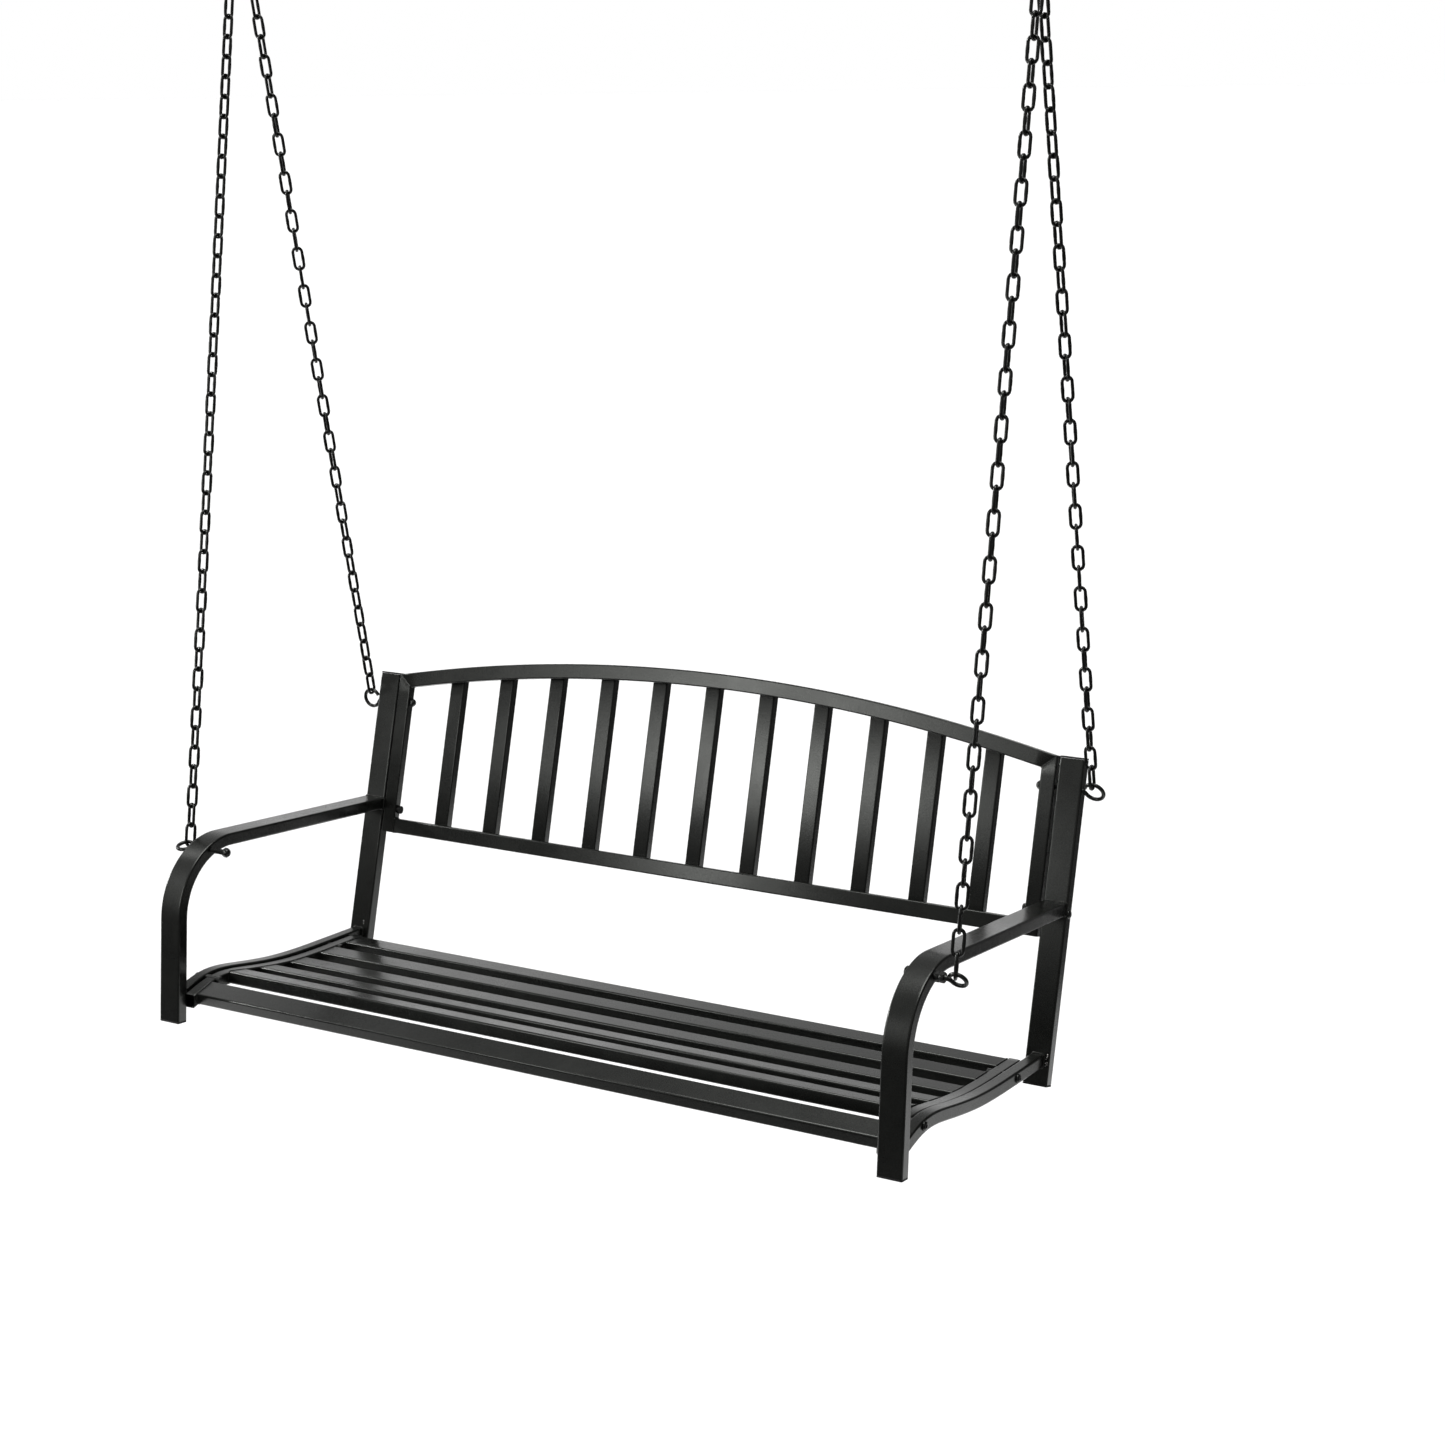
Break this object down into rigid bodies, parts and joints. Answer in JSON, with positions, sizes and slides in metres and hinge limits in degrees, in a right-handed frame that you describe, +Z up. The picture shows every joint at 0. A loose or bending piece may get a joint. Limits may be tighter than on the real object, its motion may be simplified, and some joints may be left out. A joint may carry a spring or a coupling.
{
  "type": "hanging porch bench",
  "caption": "Metal porch swing: slatted bench with an arched slat back and bent tube arms, hung on long-link chains that meet in pairs below two hooks.",
  "frame": {"origin": "middle of the line on which the two top hooks bear on their ceiling eyes", "axes": "+X to the right seen from the front, along the seat; +Y from the front to the back; +Z up; the bench hangs below z = 0"},
  "size_m": [1.3784, 0.6153, 1.906],
  "materials": {
    "frame": "satin black powder coat, fine texture",
    "fastener": "black coated steel, semi-gloss",
    "chain": "black coated steel, semi-gloss",
    "end_cap": "matt black polyethylene"
  },
  "bodies": {
    "hooks": {"hook_left": "chain", "hook_right": "chain"},
    "upper_chains": {"ring_left": "chain", "chain_upper_left": "chain", "ring_right": "chain", "chain_upper_right": "chain"},
    "bench": {"upright_left": "frame", "upright_foot_cap_left": "end_cap", "upright_top_cap_left": "end_cap", "upright_right": "frame", "upright_foot_cap_right": "end_cap", "upright_top_cap_right": "end_cap", "back_top_rail": "frame", "back_bottom_rail": "frame", "back_side_rail_left": "frame", "back_side_rail_right": "frame", "back_slat_01": "frame", "back_slat_02": "frame", "back_slat_03": "frame", "back_slat_04": "frame", "back_slat_05": "frame", "back_slat_06": "frame", "back_slat_07": "frame", "back_slat_08": "frame", "back_slat_09": "frame", "back_slat_10": "frame", "back_slat_11": "frame", "eye_bolt_rear_left": "fastener", "cap_nut_rear_left": "fastener", "back_bolt_left": "fastener", "eye_bolt_rear_right": "fastener", "cap_nut_rear_right": "fastener", "back_bolt_right": "fastener", "arm_tube_left": "frame", "seat_side_rail_left": "frame", "leg_cap_left": "end_cap", "arm_tube_right": "frame", "seat_side_rail_right": "frame", "leg_cap_right": "end_cap", "seat_end_rail_left": "frame", "seat_end_rail_right": "frame", "seat_front_rail": "frame", "seat_slat_1": "frame", "seat_slat_2": "frame", "seat_slat_3": "frame", "seat_slat_4": "frame", "seat_back_rail": "frame", "eye_bolt_front_left": "fastener", "cap_nut_front_left": "fastener", "seat_bolt_front_left": "fastener", "seat_bolt_rear_left": "fastener", "eye_bolt_front_right": "fastener", "cap_nut_front_right": "fastener", "seat_bolt_front_right": "fastener", "seat_bolt_rear_right": "fastener", "chain_front_left": "chain", "chain_rear_left": "chain", "chain_front_right": "chain", "chain_rear_right": "chain"}
  },
  "joints": [
    {"name": "swing", "type": "hinge", "parent": "hooks", "child": "upper_chains", "pos_m": [0, 0, -0.043], "axis": [1, 0, 0], "range_deg": [-22, 22]},
    {"name": "pitch", "type": "hinge", "parent": "upper_chains", "child": "bench", "pos_m": [0, 0, -0.229], "axis": [1, 0, 0], "range_deg": [-10, 10]}
  ]
}
